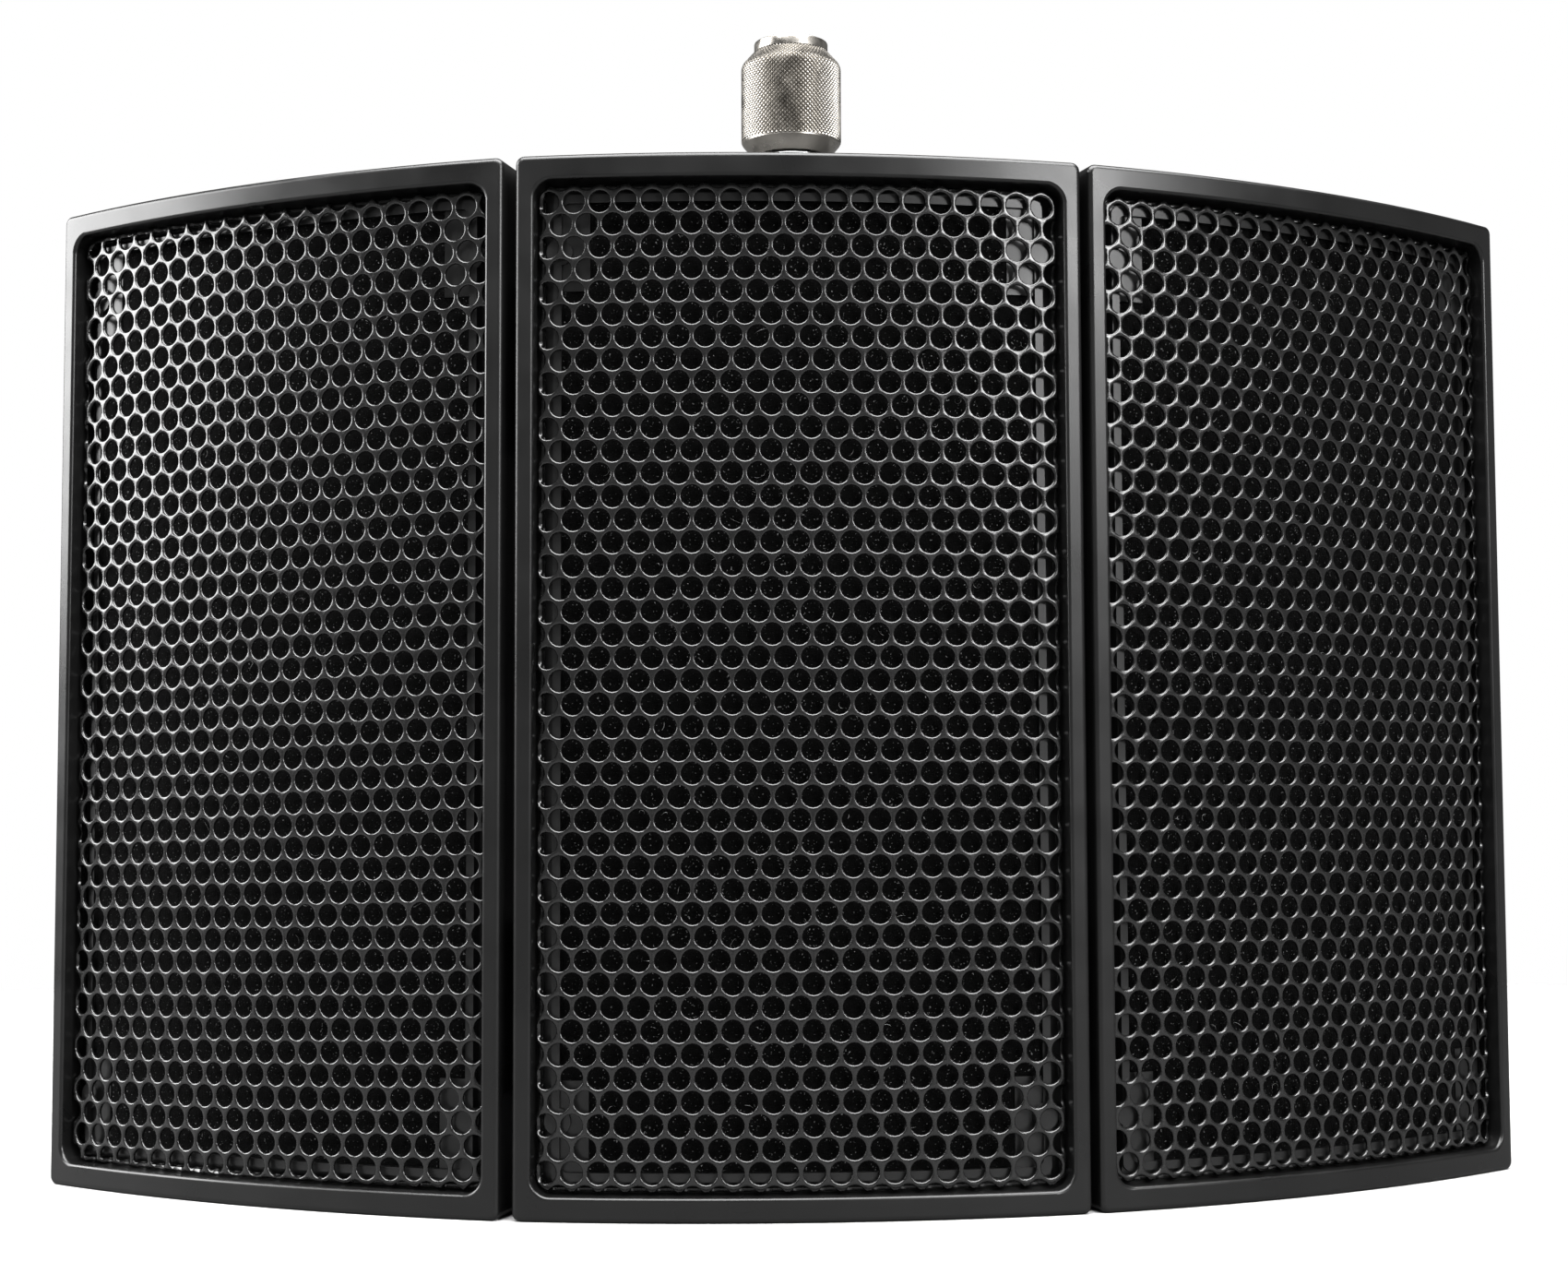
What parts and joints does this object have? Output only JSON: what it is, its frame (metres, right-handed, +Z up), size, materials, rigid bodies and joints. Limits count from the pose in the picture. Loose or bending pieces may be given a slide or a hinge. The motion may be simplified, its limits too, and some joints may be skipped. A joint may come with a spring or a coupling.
{
  "type": "folding microphone shield",
  "caption": "Folding microphone isolation shield: curved foam-backed panels behind perforated grilles, hinged at the rear, with a knurled swivel nut for a mic stand thread.",
  "frame": {"origin": "middle of the bounding box's bottom face, on the plane that the panels stand on, in the pose of the picture", "axes": "+Z up towards the knurled nut, +Y towards the microphone (foam) side, +X to the right as seen from the perforated side"},
  "size_m": [0.3614, 0.0876, 0.2753],
  "materials": {
    "bezel_plastic": "black moulded ABS, satin, fine grain",
    "grille_steel": "black powder coat, semi-gloss",
    "inner_plastic": "black moulded ABS",
    "felt": "black needle felt, loose pale fibres",
    "foam": "open-cell charcoal foam",
    "rear_plastic": "black moulded ABS, satin",
    "black_screws": "black oxide",
    "hinge_steel": "black enamelled steel",
    "pin_steel": "drawn steel wire",
    "bracket_steel": "black powder coat",
    "zinc_steel": "bright zinc plate",
    "post_steel": "turned steel",
    "nut_nickel": "bright nickel over knurled brass"
  },
  "bodies": {
    "centre_panel": {"centre_bezel": "bezel_plastic", "centre_grille": "grille_steel", "centre_retainer": "inner_plastic", "centre_felt": "felt", "centre_foam": "foam", "centre_rear_frame": "rear_plastic", "centre_frame_screws": "black_screws", "mount_bracket": "bracket_steel", "bracket_screws": "zinc_steel", "mount_washer": "zinc_steel", "mount_lock_nut": "zinc_steel", "swivel_post": "post_steel", "left_hinge_fixed_leaves": "hinge_steel", "left_hinge_fixed_screws": "black_screws", "left_hinge_pins": "pin_steel", "right_hinge_fixed_leaves": "hinge_steel", "right_hinge_fixed_screws": "black_screws", "right_hinge_pins": "pin_steel"},
    "left_panel": {"left_bezel": "bezel_plastic", "left_grille": "grille_steel", "left_retainer": "inner_plastic", "left_felt": "felt", "left_foam": "foam", "left_rear_frame": "rear_plastic", "left_frame_screws": "black_screws", "left_hinge_moving_leaves": "hinge_steel", "left_hinge_moving_screws": "black_screws"},
    "right_panel": {"right_bezel": "bezel_plastic", "right_grille": "grille_steel", "right_retainer": "inner_plastic", "right_felt": "felt", "right_foam": "foam", "right_rear_frame": "rear_plastic", "right_frame_screws": "black_screws", "right_hinge_moving_leaves": "hinge_steel", "right_hinge_moving_screws": "black_screws"},
    "swivel_nut": {"swivel_nut": "nut_nickel"}
  },
  "joints": [
    {"name": "left_fold", "type": "hinge", "parent": "centre_panel", "child": "left_panel", "pos_m": [-0.06102, -0.01343, 0.1195], "axis": [0, 0, -1], "range_deg": [-5.7, 80]},
    {"name": "right_fold", "type": "hinge", "parent": "centre_panel", "child": "right_panel", "pos_m": [0.05938, -0.01343, 0.1195], "axis": [0, 0, 1], "range_deg": [-3.3, 82]},
    {"name": "nut_spin", "type": "hinge", "parent": "centre_panel", "child": "swivel_nut", "pos_m": [-0.00082, -0.00575, 0.26], "axis": [0, 0, 1], "continuous": true}
  ]
}
